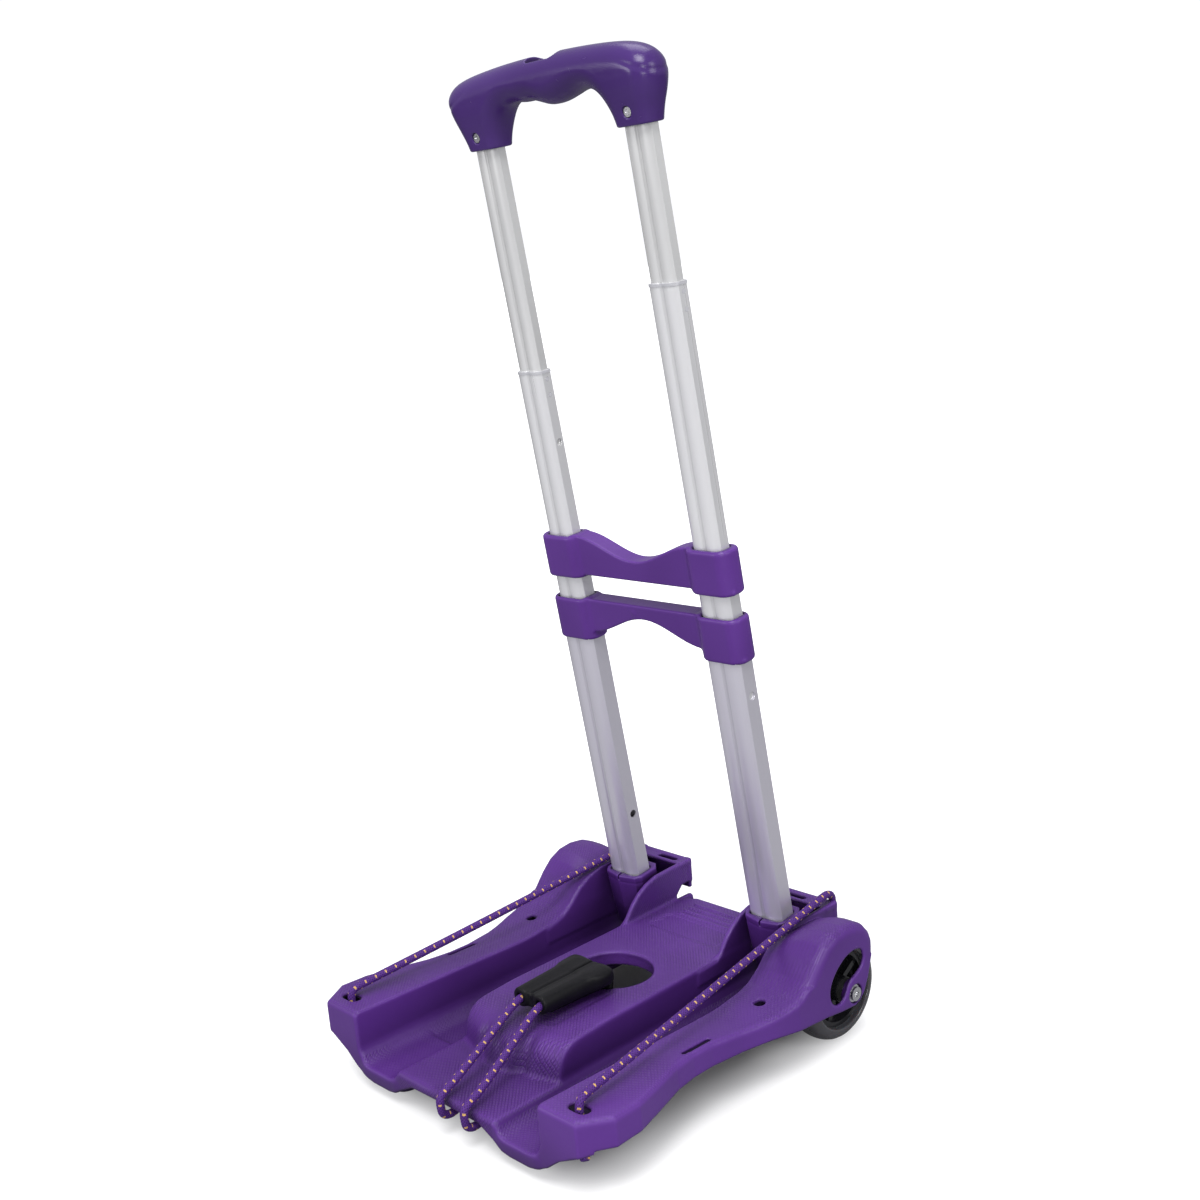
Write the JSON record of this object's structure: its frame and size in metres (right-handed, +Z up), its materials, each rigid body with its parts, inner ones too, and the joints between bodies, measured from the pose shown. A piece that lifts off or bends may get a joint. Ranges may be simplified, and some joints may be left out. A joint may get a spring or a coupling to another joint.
{
  "type": "folding luggage cart",
  "caption": "Folding luggage cart: purple moulded platform with rear wheels, telescopic handle that folds forward into the platform, elastic cords and a cord hook.",
  "frame": {"origin": "on the ground, under the middle of the cart's overall box, on its plane of symmetry", "axes": "+Z up, +Y to the rear (the wheel and handle end), +X to the cart's right"},
  "size_m": [0.2892, 0.3154, 0.6893],
  "materials": {
    "purple_moulding": "fine spark-eroded grain, satin",
    "purple_grip": "smooth semi-gloss",
    "purple_button": "smooth semi-gloss",
    "tube_lower": "satin silver anodised",
    "tube_third": "satin silver anodised",
    "tube_second": "satin silver anodised",
    "tube_top": "bright silver anodised",
    "grey_bush": "light grey satin",
    "black_plug": "matte",
    "steel": "zinc plated",
    "wheel_tyre": "smoky polyurethane",
    "wheel_hub": "gloss black",
    "purple_cord": "braided sheath with yellow flecks",
    "black_hook": "satin black"
  },
  "bodies": {
    "base": {"base_shell": "purple_moulding", "left_wheel_bolt": "steel", "right_wheel_bolt": "steel", "left_axle_nut": "steel", "right_axle_nut": "steel", "left_pivot_pin": "steel", "right_pivot_pin": "steel", "left_side_cord": "purple_cord", "right_side_cord": "purple_cord", "cord_knots": "purple_cord", "hook_cord": "purple_cord"},
    "left_wheel": {"left_tyre": "wheel_tyre", "left_hub": "wheel_hub", "left_bushings": "grey_bush"},
    "right_wheel": {"right_tyre": "wheel_tyre", "right_hub": "wheel_hub", "right_bushings": "grey_bush"},
    "lower_frame": {"left_socket": "purple_moulding", "right_socket": "purple_moulding", "left_lower_tube": "tube_lower", "right_lower_tube": "tube_lower", "lower_bracket": "purple_moulding", "socket_rivets": "steel"},
    "third_stage": {"left_third_tube": "tube_third", "right_third_tube": "tube_third", "upper_bracket": "purple_moulding", "left_third_plug": "black_plug", "right_third_plug": "black_plug"},
    "second_right": {"right_second_tube": "tube_second", "right_tube_bush": "grey_bush", "right_second_plug": "black_plug"},
    "second_left": {"left_second_tube": "tube_second", "left_tube_bush": "grey_bush", "left_second_plug": "black_plug"},
    "grip": {"grip": "purple_grip", "left_top_tube": "tube_top", "right_top_tube": "tube_top", "left_top_plug": "black_plug", "right_top_plug": "black_plug", "grip_screws": "steel", "yoke_springs": "steel"},
    "button": {"release_button": "purple_button", "release_yoke": "black_plug", "left_pull_rod": "steel", "right_pull_rod": "steel"},
    "hook": {"cord_hook": "black_hook"}
  },
  "joints": [
    {"name": "left_wheel_spin", "type": "hinge", "parent": "base", "child": "left_wheel", "pos_m": [-0.1215, 0.1106, 0.0383], "axis": [1, 0, 0], "continuous": true},
    {"name": "right_wheel_spin", "type": "hinge", "parent": "base", "child": "right_wheel", "pos_m": [0.1215, 0.1106, 0.0383], "axis": [1, 0, 0], "continuous": true},
    {"name": "handle_fold", "type": "hinge", "parent": "base", "child": "lower_frame", "pos_m": [0, 0.1116, 0.048], "axis": [1, 0, 0], "range_deg": [0, 82.5]},
    {"name": "third_stage_slide", "type": "slide", "parent": "lower_frame", "child": "third_stage", "axis": [0, -0.1305, 0.9914], "range_m": [-0.0155, 0.107]},
    {"name": "second_right_slide", "type": "slide", "parent": "third_stage", "child": "second_right", "axis": [0, -0.1305, 0.9914], "range_m": [-0.174, 0.006]},
    {"name": "grip_slide", "type": "slide", "parent": "second_right", "child": "grip", "axis": [0, -0.1305, 0.9914], "range_m": [-0.094, 0.079]},
    {"name": "second_left_slide", "type": "slide", "parent": "grip", "child": "second_left", "axis": [0, -0.1305, 0.9914], "range_m": [-0.0053, 0.1512]},
    {"name": "button_press", "type": "slide", "parent": "grip", "child": "button", "axis": [0, 0.1305, -0.9914], "range_m": [0, 0.004], "stiffness_N_per_m": 900, "springref_m": -0.002, "deforming": ["yoke_springs"]},
    {"name": "hook_pull", "type": "slide", "parent": "base", "child": "hook", "axis": [0, 1, 0], "range_m": [0, 0.03], "stiffness_N_per_m": 120}
  ],
  "couplings": [
    {"joint": "second_left_slide", "follows": "second_right_slide", "ratio": -0.868}
  ]
}
